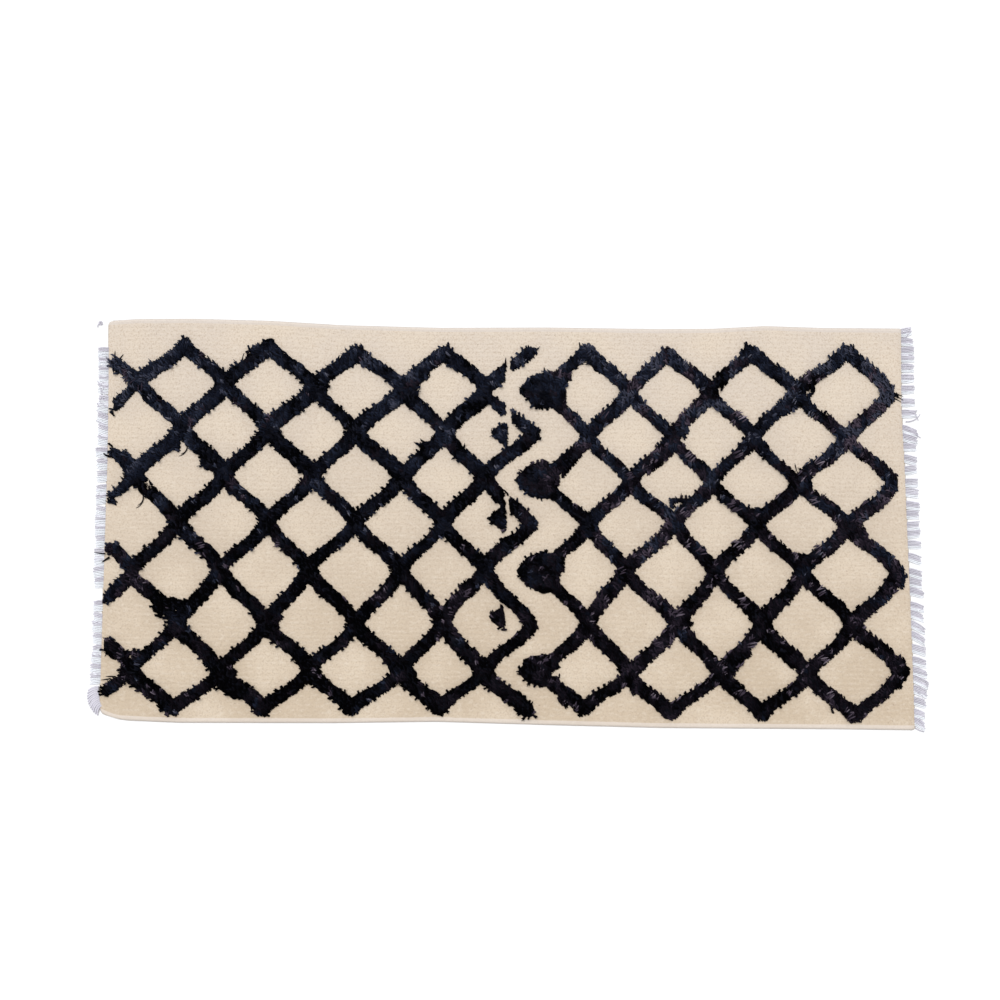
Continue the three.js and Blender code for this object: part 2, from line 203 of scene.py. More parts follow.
# Black threads that have worked loose and lie out on the ground: the root, the heading and the
# turn along it in degrees, the length, and the width beside the others'.
STRAYS = table(
    "x y heading turn length wide",
    (-802, 186, -80, -95, 40), (-908, 62, -70, -95, 46, 1.2), (-994, 158, 184, -50, 24, 2.8),
    (-1000, -86, 172, 0, 30, 1.2), (-990, -98, 205, 15, 22, 2.0), (-671, 404, 95, -30, 26),
    (-903, 162, 152, 15, 24, 0.8), (-222, 190, 118, 40, 22), (-7, 396, 82, 10, 26, 2.0),
    (92, 378, 88, 10, 20, 2.4), (20, 262, 85, 10, 16, 2.0), (54, 246, 60, 10, 15, 2.0),
    (417, 44, 118, -20, 26, 1.3), (646, -294, -100, 130, 30, 0.8), (318, -400, 275, -10, 28),
    (722, 138, 84, 30, 20, 0.8), (-992, 402, 97, -10, 30, 1.5), (-985, 400, 55, 0, 28, 1.5),
    (-902, 390, 100, 0, 16, 0.8), (-940, 366, 85, 0, 16, 1.2), (-991, 264, 140, 10, 18, 1.5),
    (-974, -304, 10, -105, 24, 0.8), (-962, -388, 172, 15, 26, 1.2), (-975, -394, 188, 0, 24, 1.1),
    (-982, -330, 240, 0, 16, 1.2), (976, 332, -12, -15, 26, 1.2), (976, 326, -20, -15, 26, 1.2),
    (972, 320, -14, -25, 24, 1.0), (598, 450, 88, 0, 14, 1.6), (182, 446, 102, 0, 18, 2.0),
)
STRAY_RADIUS = 1.5 * MM
STRAY_ROOT = 5 * MM  # how far a thread goes on back into the pile, and how high it starts there
STRAY_LIFT = 1.4 * MM  # how high its middle lies above the ground
STRAY_STATIONS = 9

# The fringe: each tassel has some white cords and some gray ones beside them, which fill a share
# of the way to the next tassel. The gray cords are the same white cotton in painted shade. Tassels
# that would stand between the two bounds of a bare stretch are lost. Their length and lean change
# along the fringe. All in metres, but for the tone from which on its white cords are picked.
TASSEL_PITCH = 27.0 * MM
TASSEL_WANDER = 0.20  # how uneven the ways from tassel to tassel are
CORD_RADIUS = 1.75 * MM
CORD_SIDES = 6
CORD_ROOT = 2 * MM  # how far inside the cloth's edge a cord starts
CORD_LIFT = 1.9 * MM  # how high its middle lies above the floor
CORD_TWIST = 5 * math.pi  # how far a cord's sides turn round it from end to end
CORD_STATIONS = np.linspace(0.0, 1.0, 13)
FRINGES = {
    "fringe_left": {
        "side": -1, "from": -0.412, "to": 0.45, "white": 4, "gray": 3, "fill": 1.0,
        "whites_from": 44, "bare": (-0.196, -0.168),
        "shape": table(
            "y length lean",
            (-0.412, 0.03, -0.25), (-0.385, 0.024, 0.05), (0.15, 0.027, 0.0), (0.225, 0.028, 0.3),
            (0.275, 0.028, 0.25), (0.31, 0.024, 0.0), (0.45, 0.03, 0.05),
        ),
    },
    "fringe_right": {
        "side": 1, "from": -0.5, "to": 0.508, "white": 2, "gray": 4, "fill": 0.8,
        "whites_from": 56, "bare": (0.0, 0.0),
        "shape": table(
            "y length lean",
            (-0.5, 0.022, -0.5), (-0.44, 0.032, -0.3), (-0.3, 0.035, -0.4), (-0.13, 0.033, -0.25),
            (-0.05, 0.032, -0.05), (0.2, 0.032, -0.05), (0.235, 0.038, -0.35), (0.272, 0.042, 0.05),
            (0.3, 0.034, -0.1), (0.45, 0.032, 0.05), (0.508, 0.028, 0.45),
        ),
    },
}

# Fringe yarns out of line: the root, heading and turn in degrees, length, how gray, which is
# painted shade on the white cotton, and the width beside the others'.
LOOSE_YARNS = {
    "fringe_left": table(
        "x y heading turn length gray wide",
        (-1030, 499, 80, 400, 26, 1.0), (-1033, 503, 200, 300, 18, 0.8),
        (-1036, 499, 215, 60, 11, 0.7), (-1004, 262, 155, 0, 34, 1.0),
        (-1004, 236, 158, -5, 34, 1.0), (-1004, 300, 190, -120, 32, 0.8),
        (-1005, 312, 160, 130, 36, 0.7), (-1006, 322, 205, -140, 34, 0.8),
        (-1006, 331, 150, 150, 32, 0.5), (-1007, 340, 200, -90, 34, 0.7),
        (-1007, 347, 165, 100, 30, 0.5), (-1000, -414, 182, 34, 27, 0.5, 1.85),
        (-1000, -418, 184, 38, 30, 0.2, 1.85), (-999, -422, 186, 44, 32, 0.4, 1.85),
        (-999, -426, 188, 48, 33, 0.2, 1.85), (-998, -430, 191, 52, 34, 0.5, 1.85),
        (-998, -434, 194, 54, 34, 0.3, 1.85), (-997, -438, 197, 56, 33, 0.4, 1.85),
        (-997, -442, 200, 58, 32, 0.2, 1.85), (-996, -446, 204, 60, 31, 0.5, 1.85),
        (-995, -450, 208, 62, 30, 0.3, 1.85), (-993, -454, 214, 62, 29, 0.4, 1.85),
        (-991, -458, 220, 62, 27, 0.7, 1.85),
    ),
    "fringe_right": table(
        "x y heading turn length gray wide",
        (1001, 292, -8, -70, 44, 0.8), (1001, 262, -2, 65, 44, 0.8), (998, 476, 15, 75, 36, 0.8),
        (1000, 240, -18, -20, 42, 0.9), (1003, -498, -35, 20, 24, 1.0),
        (1000, -402, -48, 20, 40, 1.0),
    ),
}
LOOSE_RADIUS = 1.5 * MM
LOOSE_STATIONS = 15

# The yarns' colour maps have a column for each tone, from dark to pale. The pile's goes from dark
# to pale twice, the second time with a warm cast.
TONES = 64
WARM_TONES = 32  # the first of the warm columns

rng = np.random.default_rng(11)


# ---- Meshes from arrays ----

def new_piece(name, points, polygons, finish, uvs=None, uv_name="OFBake", smooth=True):
    """A mesh object from points (n, 3) and a list of face arrays, each (faces, corners)."""
    mesh = bpy.data.meshes.new(name)
    corners = np.concatenate([faces.ravel() for faces in polygons]).astype(np.int32)
    totals = np.concatenate([np.full(len(faces), faces.shape[1]) for faces in polygons])
    starts = np.concatenate([[0], np.cumsum(totals)[:-1]]).astype(np.int32)
    mesh.vertices.add(len(points))
    mesh.vertices.foreach_set("co", points.astype(np.float32).ravel())
    mesh.loops.add(len(corners))
    mesh.loops.foreach_set("vertex_index", corners)
    mesh.polygons.add(len(starts))
    mesh.polygons.foreach_set("loop_start", starts)
    mesh.polygons.foreach_set("use_smooth", np.full(len(starts), smooth))
    if uvs is not None:
        mesh.uv_layers.new(name=uv_name).data.foreach_set("uv", uvs.astype(np.float32).ravel())
    mesh.materials.append(finish)
    mesh.update(calc_edges=True)
    piece = bpy.data.objects.new(name, mesh)
    bpy.context.scene.collection.objects.link(piece)
    return piece


def node_points(name):
    """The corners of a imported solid's mesh."""
    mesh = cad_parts[name].data
    points = np.empty(len(mesh.vertices) * 3, np.float32)
    mesh.vertices.foreach_get("co", points)
    return points.reshape(-1, 3).astype(float)


def node_triangles(name):
    """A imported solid's triangles, three corners each."""
    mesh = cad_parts[name].data
    mesh.calc_loop_triangles()
    corners = np.empty(len(mesh.loop_triangles) * 3, np.int32)
    mesh.loop_triangles.foreach_get("vertices", corners)
    return node_points(name)[corners.reshape(-1, 3)]


def quads(index):
    """The faces of a grid of point numbers, seen from above in order round each."""
    corners = (index[:-1, :-1], index[1:, :-1], index[1:, 1:], index[:-1, 1:])
    return np.stack(corners, axis=-1).reshape(-1, 4)


def between(values, i, j, ease=False):
    """A grid's values at places between its points, by shares of the four nearest. Eased shares
    change as 3 s² - 2 s³, which leaves no creases along the grid."""
    a = np.clip(np.floor(i).astype(int), 0, values.shape[0] - 2)
    b = np.clip(np.floor(j).astype(int), 0, values.shape[1] - 2)
    s, t = i - a, j - b
    if ease:
        s, t = s * s * (3 - 2 * s), t * t * (3 - 2 * t)
    low = values[a, b] * (1 - s) + values[a + 1, b] * s
    high = values[a, b + 1] * (1 - s) + values[a + 1, b + 1] * s
    return low * (1 - t) + high * t


# ---- Where the pile stands ----

class Footprint:
    """A map of the pile's feet, one cell to a millimetre. Along each row of cells every edge of
    the foot triangles flips what lies to its right, so a cell flipped an odd number of times is
    inside a foot. Then the strips that have pile are added and those that have none taken off."""

    def __init__(self, names):
        triangles = np.concatenate([node_triangles(name) for name in names])
        lowest = triangles[:, :, 2].min()
        feet = triangles[(triangles[:, :, 2] < lowest + 0.1 * MM).all(1)][:, :, :2]
        starts = feet.reshape(-1, 2)
        ends = np.roll(feet, -1, axis=1).reshape(-1, 2)
        self.low = starts.min(0) - MAP_MARGIN
        size = np.ceil((starts.max(0) + MAP_MARGIN - self.low) / MM).astype(int)
        columns, rows = (self.low[k] + (np.arange(size[k]) + 0.5) * MM for k in (0, 1))
        edge, row = np.nonzero((starts[:, 1, None] <= rows) != (ends[:, 1, None] <= rows))
        share = (rows[row] - starts[edge, 1]) / (ends[edge, 1] - starts[edge, 1])
        x = starts[edge, 0] + share * (ends[edge, 0] - starts[edge, 0])
        flips = np.zeros(size, int)
        np.add.at(flips, (((x - self.low[0]) / MM).astype(int), row), 1)
        self.cells = np.cumsum(flips, axis=0) % 2 == 1
        for strip in FILLS:
            self.cells |= self.off_line(columns[:, None], rows, strip) < strip["half"] * MM
        for strip in TRIMS:
            self.cells &= self.off_line(columns[:, None], rows, strip) > strip["half"] * MM
        self.depth = self.depths()
        self.soft = self.softened()

    @staticmethod
    def off_line(x, y, strip):
        """How far places of the foot are from the line between a strip's two points, which are
        given where the pile lies over it."""
        start, end = (unsettled(*(np.array(strip[point]) * MM)) for point in ("from", "to"))
        way = end - start
        share = np.clip(((x - start[0]) * way[0] + (y - start[1]) * way[1]) / way.dot(way), 0, 1)
        return np.hypot(x - start[0] - share * way[0], y - start[1] - share * way[1])

    def depths(self):
        """How many millimetres each cell lies inside the edge, up to the mat's rounding, counted
        by taking off a rim of cells again and again, with its corners every other time."""
        beside = [(1, 0), (-1, 0), (0, 1), (0, -1), (0, 0)]
        corners = [(1, 1), (-1, 1), (1, -1), (-1, -1)]
        left, depth = self.cells, self.cells * 0.5
        for turn in range(MAT_ROUNDING):
            shifts = beside + corners * (turn % 2)
            left = np.all([np.roll(left, shift, axis=(0, 1)) for shift in shifts], axis=0)
            depth = depth + left
        return depth

    def softened(self):
        """The map with its edge spread over a few cells, as means of five cells each way, twice."""
        soft = self.cells.astype(float)
        for axis in (0, 1, 0, 1):
            soft = sum(np.roll(soft, shift, axis) for shift in range(-2, 3)) / 5
        return soft

    def at(self, cells, x, y):
        """The value of a map of cells at each place."""
        column = np.clip(((x - self.low[0]) / MM).astype(int), 0, cells.shape[0] - 1)
        row = np.clip(((y - self.low[1]) / MM).astype(int), 0, cells.shape[1] - 1)
        return cells[column, row]

    def holds(self, x, y):
        """Whether each place lies on pile."""
        return self.at(self.cells, x, y)

    def eased(self, x, y):
        """The softened map at each place, read between the middles of its cells."""
        return between(self.soft, (x - self.low[0]) / MM - 0.5, (y - self.low[1]) / MM - 0.5)

    def slope(self, x, y, reach):
        """How much the softened map rises to the right and to the far side, over twice a reach."""
        return (self.eased(x + reach, y) - self.eased(x - reach, y),
                self.eased(x, y + reach) - self.eased(x, y - reach))

    def outward(self, x, y):
        """The direction that leads out of the pile: down the softened map's slope, taken wide."""
        right, far = self.slope(x, y, 5 * MM)
        long = np.maximum(np.hypot(right, far), 1e-3)
        return -right / long, -far / long

    def room(self, x, y, heading, longest):
        """How far pile goes on from each place at its heading, in short steps."""
        step = 1.5 * MM
        inside = np.ones(len(x), bool)
        room = np.zeros(len(x))
        for count in range(1, round(longest / step) + 1):
            way = count * step
            inside &= self.holds(x + way * np.cos(heading), y + way * np.sin(heading))
            room += step * inside
        return room


# ---- Finishes ----

class Socket:
    """An output socket whose sums are written as Python expressions."""

    def __init__(self, finish, output):
        self.finish = finish
        self.output = output

    def math(self, operation, *others):
        """A sum of this value and others."""
        sockets = dict(enumerate((self, *others)))
        return self.finish.add("ShaderNodeMath", {"operation": operation}, sockets)

    def __add__(self, other):
        return self.math("ADD", other)

    def __sub__(self, other):
        return self.math("SUBTRACT", other)

    def __rsub__(self, other):
        return (self * -1.0) + other

    def __mul__(self, other):
        return self.math("MULTIPLY", other)

    def __gt__(self, other):
        return self.math("GREATER_THAN", other)

    def __lt__(self, other):
        return self.math("LESS_THAN", other)

    __radd__ = __add__
    __rmul__ = __mul__


class Finish:
    """A material whose nodes all come from one method."""

    def __init__(self, name, **constants):
        self.material = bpy.data.materials.new(name)
        self.material.use_nodes = True
        self.nodes = self.material.node_tree.nodes
        self.links = self.material.node_tree.links
        self.nodes.clear()
        self.shader = self.nodes.new("ShaderNodeBsdfPrincipled")
        output = self.nodes.new("ShaderNodeOutputMaterial")
        self.links.new(self.shader.outputs["BSDF"], output.inputs["Surface"])
        self.surface(**constants)

    def add(self, kind, settings=None, inputs=None, output=0):
        """Adds a node, sets its settings first and then its sockets to values or links."""
        node = self.nodes.new(kind)
        for key, value in (settings or {}).items():
            if key == "stops":
                for element, (place, color) in zip(self.ramp_elements(node, len(value)), value):
                    element.position = place
                    element.color = color
            else:
                setattr(node, key, value)
        self.connect(node, inputs or {})
        return Socket(self, node.outputs[output])

    @staticmethod
    def ramp_elements(node, count):
        """A colour ramp's stops, after adding those that it lacks."""
        elements = node.color_ramp.elements
        while len(elements) < count:
            elements.new(1.0)
        return elements

    def connect(self, node, inputs):
        """Links a node's sockets to other nodes' or sets them to values."""
        for key, value in inputs.items():
            if isinstance(value, Socket):
                self.links.new(value.output, node.inputs[key])
            else:
                node.inputs[key].default_value = value

    def surface(self, **inputs):
        """Sets the shader's own sockets to constants, or links them to what varies."""
        self.connect(self.shader, {key.replace("_", " "): value for key, value in inputs.items()})

    def place(self):
        """Where each point is, in metres."""
        return self.add("ShaderNodeTexCoord", output=3)

    def split(self, vector):
        """The three parts of a vector."""
        parts = self.add("ShaderNodeSeparateXYZ", None, {0: vector}).output.node.outputs
        return [Socket(self, part) for part in parts]

    def map_place(self, name):
        """The two coordinates of a piece's own map."""
        return self.split(self.add("ShaderNodeUVMap", {"uv_map": name}))[:2]

    def join(self, x, y):
        """A vector of two parts."""
        return self.add("ShaderNodeCombineXYZ", None, {0: x, 1: y})

    def mix(self, factor, first, second, blend="MIX"):
        """A colour mixed from two, first at factor 0 and second at 1."""
        settings = {"data_type": "RGBA", "blend_type": blend}
        return self.add("ShaderNodeMix", settings, {0: factor, 6: first, 7: second}, output=2)

    def noise(self, place, scale, detail=2.0):
        """A random field between 0 and 1, with so many features to a unit."""
        return self.add("ShaderNodeTexNoise", None, {"Vector": place, "Scale": scale, "Detail": detail})

    def ramp(self, value, stops):
        """A colour read from stops, each a place and a colour."""
        return self.add("ShaderNodeValToRGB", {"stops": stops}, {0: value})

    def smooth(self, value, low, high):
        """0 below low and 1 above high, eased between them."""
        sockets = {"Value": value, "From Min": low, "From Max": high}
        return self.add("ShaderNodeMapRange", {"interpolation_type": "SMOOTHSTEP"}, sockets)

    def flecks(self, place, scale, detail, low, high):
        """Where a random field is high: 0 below low and 1 above high, eased between them."""
        return self.smooth(self.noise(place, scale, detail), low, high)

    def bump(self, height, distance, strength=1.0):
        """Tilts the surface as if it stood out by a height's share of a distance."""
        sockets = {"Height": height, "Distance": distance, "Strength": strength}
        self.surface(Normal=self.add("ShaderNodeBump", None, sockets))


def gray(value):
    """A colour without a cast."""
    return (value, value, value, 1.0)


def ground_finish():
    """Cream wool in weft-faced weave. The weave map counts wefts along and ribs across, so beads
    of weft sit on each rib half a step apart from the next rib's."""
    finish = Finish("cream_wool_weave", Sheen_Weight=0.1, Sheen_Roughness=0.6, Specular_IOR_Level=0.25)
    wefts, ribs = finish.map_place("weave")
    place = finish.place()
    far = finish.split(place)[1]
    crown = (ribs.math("FRACT") * math.pi).math("SINE")
    uneven = finish.noise(finish.join(wefts * 0.35, ribs * 1.7), 1.0, 1.0)
    bead = ((wefts + ribs.math("FLOOR") * 0.5 + uneven * 4.0).math("FRACT") * math.pi).math("SINE")
    fibre = finish.noise(place, 800.0, 3.0)
    clouds = finish.flecks(place, 7.0, 3.0, 0.35, 0.7)
    yarns = finish.flecks(finish.join(wefts * 0.3, ribs * 1.6), 1.0, 2.0, 0.45, 0.75)
    tufts = finish.flecks(place, 240.0, 2.0, 0.45, 0.72)
    specks = finish.flecks(place, 150.0, 1.0, 0.745, 0.80)
    selvedge = (ribs < 1.0) + (ribs > RIBS - 1.0)

    # Painted light: the cloth is painted paler towards the far side, where more light falls, and darker
    # and warmer towards the near side.
    shaded_near_cream, lit_far_cream = (0.585, 0.475, 0.352, 1), (0.680, 0.590, 0.500, 1)
    cream = finish.mix(finish.smooth(far, -0.5, 0.5), shaded_near_cream, lit_far_cream)
    for amount, color in (
            (clouds * 0.6, (0.745, 0.635, 0.505, 1)),
            (yarns * 0.4, (0.775, 0.690, 0.585, 1)),
            (tufts * 0.62, (0.50, 0.39, 0.285, 1)),
            # Painted shade: these two darken the grooves between the ribs and the gaps between the weft
            # beads.
            ((1.0 - crown) * 0.05, (0.50, 0.385, 0.275, 1)),
            ((1.0 - bead) * 0.07, (0.50, 0.40, 0.30, 1)),
            (specks * 0.55, (0.30, 0.205, 0.14, 1)),
            (selvedge * 0.6, (0.74, 0.67, 0.615, 1))):
        cream = finish.mix(amount, cream, color)
    finish.surface(Base_Color=cream, Roughness=fibre * 0.15 + 0.82)
    finish.bump(crown * 0.15 + bead * crown * 0.3 + fibre * 0.35, 0.9 * MM)
    return finish.material


def yarn_finish(name, tones, painted_shading, specular, sheen):
    """Loose yarn, from a map whose columns are tones and whose rows run from root to tip. Each
    column is one turn round the yarn, so narrow stripes along it are its fibres. Tones are stops of a
    column and a colour, and the painted shading darkens them along the yarn towards the root as
    painted shade and, where its stops rise above one, lightens them towards the tip as painted light."""
    finish = Finish(name, Specular_IOR_Level=specular, Sheen_Weight=sheen, Sheen_Roughness=0.5)
    column, along = finish.map_place("OFBake")
    fibre = finish.noise(finish.join(column * (TONES * 4.0), along * 3.0), 1.0, 2.0)
    # Painted light and shade along the yarn: darker at the root, lighter towards the tip.
    shade = finish.ramp(along * 0.8 + fibre * 0.4 - 0.1, [(place, gray(tone)) for place, tone in painted_shading])
    tone = finish.ramp(column, [(place / TONES, (*color, 1)) for place, color in tones])
    finish.surface(Base_Color=finish.mix(1.0, tone, shade, "MULTIPLY"), Roughness=fibre * 0.2 + 0.75)
    finish.bump(fibre, 0.5 * MM, 0.6)
    return finish.material


def mat_finish():
    """The fluff between the yarn ends: black wool with short strokes that run with the nap. Both
    its patches and its strokes show more where the rug catches the light, on the far side."""
    finish = Finish("black_wool_fluff", Specular_IOR_Level=0.02)
    place = finish.place()
    turned = finish.add("ShaderNodeMapping", None, {0: place, 2: (0, 0, -NAP_ANGLE), 3: (1.0, 4.0, 1.0)})
    strokes = finish.noise(turned, 90.0, 2.0)
    lit = finish.smooth(finish.split(place)[1], -0.45, 0.35)
    deep, dusty = (0.0030, 0.0030, 0.0045, 1), (0.0130, 0.0140, 0.0225, 1)
    black = finish.mix(finish.flecks(place, 60.0, 2.0, 0.3, 0.75) * (lit * 0.7 + 0.3), deep, dusty)
    stroked = finish.smooth(strokes, 0.55, 0.8) * (lit * 0.3 + 0.2)
    black = finish.mix(stroked, black, (0.03, 0.031, 0.045, 1))
    finish.surface(Base_Color=black, Roughness=strokes * 0.2 + 0.75)
    finish.bump(strokes, 2.0 * MM, 0.8)
    return finish.material


def floor_finish():
    """A matt pale floor, hardly clouded."""
    finish = Finish("pale_floor", Roughness=0.9)
    finish.surface(Base_Color=finish.mix(finish.noise(finish.place(), 3.0), gray(0.93), gray(0.95)))
    return finish.material


# ---- Ground ----

class Edges:
    """The cloth's four edges as curves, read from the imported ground's outline. The long edges go
    straight on past the rounded corners and the short ones take the rounding in, so each rib ends
    on the round."""

    def __init__(self):
        points = node_points("ground")
        self.top = points[:, 2].max()
        outline = np.unique(points[points[:, 2] > self.top / 2][:, :2].round(5), axis=0)
        outline = outline[np.argsort(np.arctan2(2 * outline[:, 1], outline[:, 0]))]
        step = np.abs(np.roll(outline, -1, axis=0) - outline)
        level = (step[:, 0] > 20 * MM) & (step[:, 1] < 0.12 * step[:, 0])
        level |= np.roll(level, 1)
        self.near = self.lengthened(outline[level & (outline[:, 1] < 0)])
        self.far = self.lengthened(outline[level & (outline[:, 1] > 0)])
        self.left = self.in_order(outline[outline[:, 0] < -ENDS_FROM][:, ::-1])
        self.right = self.in_order(outline[outline[:, 0] > ENDS_FROM][:, ::-1])

    @staticmethod
    def in_order(points):
        """The points' two coordinates, sorted by the first."""
        points = points[np.argsort(points[:, 0], kind="stable")]
        return points[:, 0], points[:, 1]

    @staticmethod
    def lengthened(points, more=60 * MM):
        """The curve with its first and last stretches carried on by a little more."""
        x, y = Edges.in_order(points)
        before = y[0] - more * (y[1] - y[0]) / (x[1] - x[0])
        after = y[-1] + more * (y[-1] - y[-2]) / (x[-1] - x[-2])
        return np.array([x[0] - more, *x, x[-1] + more]), np.array([before, *y, after])

    def place(self, along, across):
        """Points of the cloth from shares of the way along and across it: each coordinate is
        taken between its two edges at the other one, four times over."""
        x = 2 * along - 1
        for _ in range(4):
            near, far = np.interp(x, *self.near), np.interp(x, *self.far)
            near = near + CORNER_RISE * np.clip((CORNER_FROM - x) / CORNER_REACH, 0, 1) ** 2
            y = near + (far - near) * across
            left, right = np.interp(y, *self.left), np.interp(y, *self.right)
            x = left + (right - left) * along
        return x, y


def ground_top(edges, u, v):
    """The cloth's upper side at shares u along and v across it. Its height is the sine of the
    place across each rib, with a higher rib at each selvedge and slow waves over it all, and
    falls to half the thickness all round the rim. The ribs wander by crossed waves."""
    x, y = edges.place(u, v)
    wander = np.sin(31 * x + 57 * v) + np.sin(58 * x - 83 * v) + 0.6 * np.sin(117 * x + 131 * v)
    y = y + RIB_WANDER / 2.6 * wander * np.clip(24 * v * (1 - v), 0, 1)  # none along the selvedges
    rib = np.abs(np.sin(np.pi * RIBS * v))
    outermost = (v < 1 / RIBS) | (v > 1 - 1 / RIBS)
    wave = 0.25 * np.sin(9 * x + 4 * y) + 0.2 * np.sin(23 * y - 7 * x)
    height = edges.top - RIB_DEPTH * (0.75 - rib) + GROUND_WAVE * wave
    height = np.where(outermost, height + (SELVEDGE_RISE * rib), height)
    rim = (u == 0) | (u == 1) | (v == 0) | (v == 1)
    return np.stack([x, y, np.where(rim, edges.top / 2, height)], axis=-1)


def make_ground(edges):
    """The ground as one closed sheet. Its top is a fine grid. Its underside is flat, with one row
    of faces to a rib, and meets the top's rim all round. Along each short edge a fan of faces
    leads from a rib's points to the underside's."""
    inner = np.linspace(END_MARGIN, 1 - END_MARGIN, GROUND_COLUMNS - 1)
    u, v = np.meshgrid(np.concatenate([[0.0], inner, [1.0]]), np.linspace(0, 1, RIBS * RIB_STEPS + 1),
                       indexing="ij")
    top = ground_top(edges, u, v)
    low_rows = np.arange(0, RIBS * RIB_STEPS + 1, RIB_STEPS)
    under = top[1:-1, low_rows[1:-1]].copy()
    under[..., 2] = 0.0

    index = np.arange(u.size).reshape(u.shape)
    below = index[:, low_rows]
    below[1:-1, 1:-1] = u.size + np.arange(under[..., 0].size).reshape(under.shape[:2])
    starts = low_rows[:-1, None] + np.arange(RIB_STEPS + 1)
    left_fans = np.hstack([index[0][starts], below[1, 1:, None], below[1, :-1, None]])
    right_fans = np.hstack([index[-1][starts], below[-2, 1:, None], below[-2, :-1, None]])[:, ::-1]
    points = np.concatenate([top.reshape(-1, 3), under.reshape(-1, 3)])
    polygons = [quads(index), quads(below[1:-1])[:, ::-1], left_fans, right_fans]

    ribs = np.concatenate([v.ravel(), v[1:-1, low_rows[1:-1]].ravel()]) * RIBS
    weave = np.stack([points[:, 0] / WEFT_PITCH, ribs], axis=1)
    corners = np.concatenate([faces.ravel() for faces in polygons])
    return new_piece("ground_cloth", points, polygons, ground_finish(), weave[corners], "weave")


# ---- Yarn ----

def sweep(paths, radii, tones, sides, turn=0.0):
    """Closed yarns along many paths at once, as points, faces and map places. paths is (yarns,
    stations, 3) and radii (yarns, stations). The sides turn round the yarn by turn, in radians,
    from root to tip."""
    yarns, stations = paths.shape[:2]
    offsets = (np.arange(yarns) * (stations * sides + 2))[:, None, None]
    faces = [(part + offsets).reshape(-1, part.shape[1]) for part in yarn_faces(stations, sides)]
    return yarn_points(paths, radii, sides, turn), faces, yarn_map(stations, sides, tones)


def yarn_points(paths, radii, sides, turn):
    """A ring of sides points round each station, its first direction the path's level normal,
    and behind all rings of a yarn the points on the path that close its root and its tip."""
    yarns, stations = paths.shape[:2]
    tangent = np.gradient(paths, axis=1)
    tangent /= np.linalg.norm(tangent, axis=2, keepdims=True)
    level = np.stack([-tangent[..., 1], tangent[..., 0], np.zeros((yarns, stations))], axis=-1)
    level /= np.maximum(np.linalg.norm(level, axis=2, keepdims=True), 1e-9)
    normal = np.cross(tangent, level)
    angle = 2 * np.pi * np.arange(sides) / sides + np.pi / 2
    angle = angle + turn * np.linspace(0, 1, stations)[:, None]
    ring = (np.cos(angle)[None, ..., None] * level[:, :, None]
            + np.sin(angle)[None, ..., None] * normal[:, :, None])
    rings = paths[:, :, None] + radii[:, :, None, None] * ring
    root = paths[:, :1] - tangent[:, :1] * radii[:, :1, None] * 0.3
    tip = paths[:, -1:] + tangent[:, -1:] * radii[:, -1:, None]
    return np.concatenate([rings.reshape(yarns, -1, 3), root, tip], axis=1).reshape(-1, 3)


def yarn_faces(stations, sides):
    """The faces of one yarn: quads from ring to ring, and triangles round its root and its tip."""
    side = np.arange(sides)
    after = (side + 1) % sides
    first = (np.arange(stations - 1) * sides)[:, None]
    walls = np.stack([first + side, first + after, first + sides + after, first + sides + side], axis=-1)
    last, count = (stations - 1) * sides, stations * sides
    roots = np.stack([side, np.full(sides, count), after], axis=-1)
    tips = np.stack([last + side, last + after, np.full(sides, count + 1)], axis=-1)
    return walls.reshape(-1, 4), np.concatenate([roots, tips])


def yarn_map(stations, sides, tones):
    """Map places for each corner of those faces. One turn round the yarn crosses the column of
    its tone, and the way from root to tip goes up the rows."""
    side = np.arange(sides) / sides
    after, middle, level = side + 1 / sides, side + 0.5 / sides, np.ones(sides)
    share = np.linspace(0.04, 0.96, stations)
    low, high = share[:-1, None] * level, share[1:, None] * level
    across = np.stack(np.broadcast_arrays(side, after, after, side, low)[:4], axis=-1)
    walls = np.stack([across, np.stack([low, low, high, high], axis=-1)], axis=-1)
    roots = [(side, 0.04 * level), (middle, 0.01 * level), (after, 0.04 * level)]
    tips = [(side, 0.96 * level), (after, 0.96 * level), (middle, 0.99 * level)]
    caps = np.concatenate([np.array(corners).transpose(2, 0, 1) for corners in (roots, tips)])
    parts = []
    for part in (walls.reshape(-1, 2), caps.reshape(-1, 2)):
        places = np.broadcast_to(part, (len(tones), *part.shape)).copy()
        places[..., 0] = (tones[:, None] + places[..., 0] * 0.98 + 0.01) / TONES
        parts.append(places.reshape(-1, 2))
    return np.concatenate(parts)


def arc_paths(base, heading, reach, height, bend, stations):
    """Paths of yarn ends. Each goes out at its heading, a little slower at first, climbs as the
    start of a sine wave to its height and sinks at the tip, and bends to one side with the
    square of the way along."""
    s = stations[None, :]
    out = reach[:, None] * s ** 1.2
    aside = bend[:, None] * s ** 2
    climb = height[:, None] * np.sin(0.68 * np.pi * s)
    ahead = np.stack([np.cos(heading), np.sin(heading)], axis=1)[:, None]
    across = np.stack([-np.sin(heading), np.cos(heading)], axis=1)[:, None]
    level = base[:, None, :2] + ahead * out[..., None] + across * aside[..., None]
    return np.concatenate([level, (base[:, 2, None] + climb)[..., None]], axis=-1)


